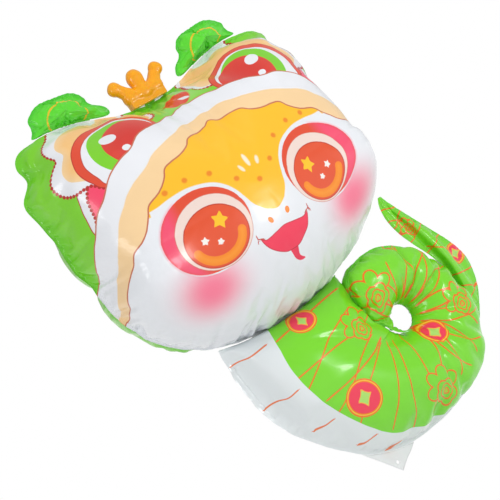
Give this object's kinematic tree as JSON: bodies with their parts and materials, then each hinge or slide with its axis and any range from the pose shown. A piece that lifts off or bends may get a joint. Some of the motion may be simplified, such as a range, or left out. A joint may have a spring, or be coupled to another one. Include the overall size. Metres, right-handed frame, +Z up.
{
  "type": "foil balloon",
  "caption": "Inflated foil character balloon: a cartoon snake in a lion hood, with a coiled body, ears, crown and tail on flexing bonds.",
  "frame": {"origin": "centre of the ribbon hole in the inflation tab at the bottom", "axes": "+Z up from the tab to the ears, the face looks along -Y, +X to the viewer's right"},
  "size_m": [0.637, 0.306, 0.7886],
  "materials": {
    "head_front_print": "glossy printed foil film",
    "head_rear_print": "glossy printed foil film",
    "ear_film": "glossy foil film",
    "crown_film": "glossy, slightly translucent film",
    "body_print": "glossy printed foil film",
    "tail_print": "glossy printed foil film",
    "tab_film": "glossy flat film",
    "valve_film": "clear film",
    "adhesive": "matte foam adhesive"
  },
  "bodies": {
    "coil": {"body_front_film": "body_print", "body_rear_film": "body_print", "body_valve_front_strip": "valve_film", "body_valve_rear_strip": "valve_film", "inflation_tab": "tab_film", "coil_adhesive_pad": "adhesive", "tail_adhesive_strip": "adhesive"},
    "head": {"head_front_film": "head_front_print", "head_rear_film": "head_rear_print", "head_valve_front_strip": "valve_film", "head_valve_rear_strip": "valve_film", "left_ear_adhesive_strip": "adhesive", "right_ear_adhesive_strip": "adhesive", "crown_adhesive_strip": "adhesive", "neck_adhesive_strip": "adhesive"},
    "left_ear": {"left_ear_front_film": "ear_film", "left_ear_rear_film": "ear_film"},
    "right_ear": {"right_ear_front_film": "ear_film", "right_ear_rear_film": "ear_film"},
    "crown": {"crown_front_film": "crown_film", "crown_rear_film": "crown_film"},
    "tail": {"tail_front_film": "tail_print", "tail_rear_film": "tail_print"}
  },
  "joints": [
    {"name": "neck_flex", "type": "hinge", "parent": "coil", "child": "head", "pos_m": [-0.022, 0, 0.2904], "axis": [1, 0, 0], "range_deg": [-8, 8], "stiffness_Nm_per_rad": 2},
    {"name": "left_ear_flex", "type": "hinge", "parent": "head", "child": "left_ear", "pos_m": [-0.163, 0, 0.7215], "axis": [0.9903, 0, -0.1392], "range_deg": [-15, 15], "stiffness_Nm_per_rad": 0.02},
    {"name": "right_ear_flex", "type": "hinge", "parent": "head", "child": "right_ear", "pos_m": [0.119, 0, 0.7215], "axis": [0.9903, 0, 0.1392], "range_deg": [-15, 15], "stiffness_Nm_per_rad": 0.02},
    {"name": "crown_flex", "type": "hinge", "parent": "head", "child": "crown", "pos_m": [-0.022, 0, 0.6946], "axis": [1, 0, 0], "range_deg": [-15, 15], "stiffness_Nm_per_rad": 0.02},
    {"name": "tail_flex", "type": "hinge", "parent": "coil", "child": "tail", "pos_m": [0.2905, 0, 0.155], "axis": [0, 0, 1], "range_deg": [-15, 15], "stiffness_Nm_per_rad": 0.02}
  ]
}
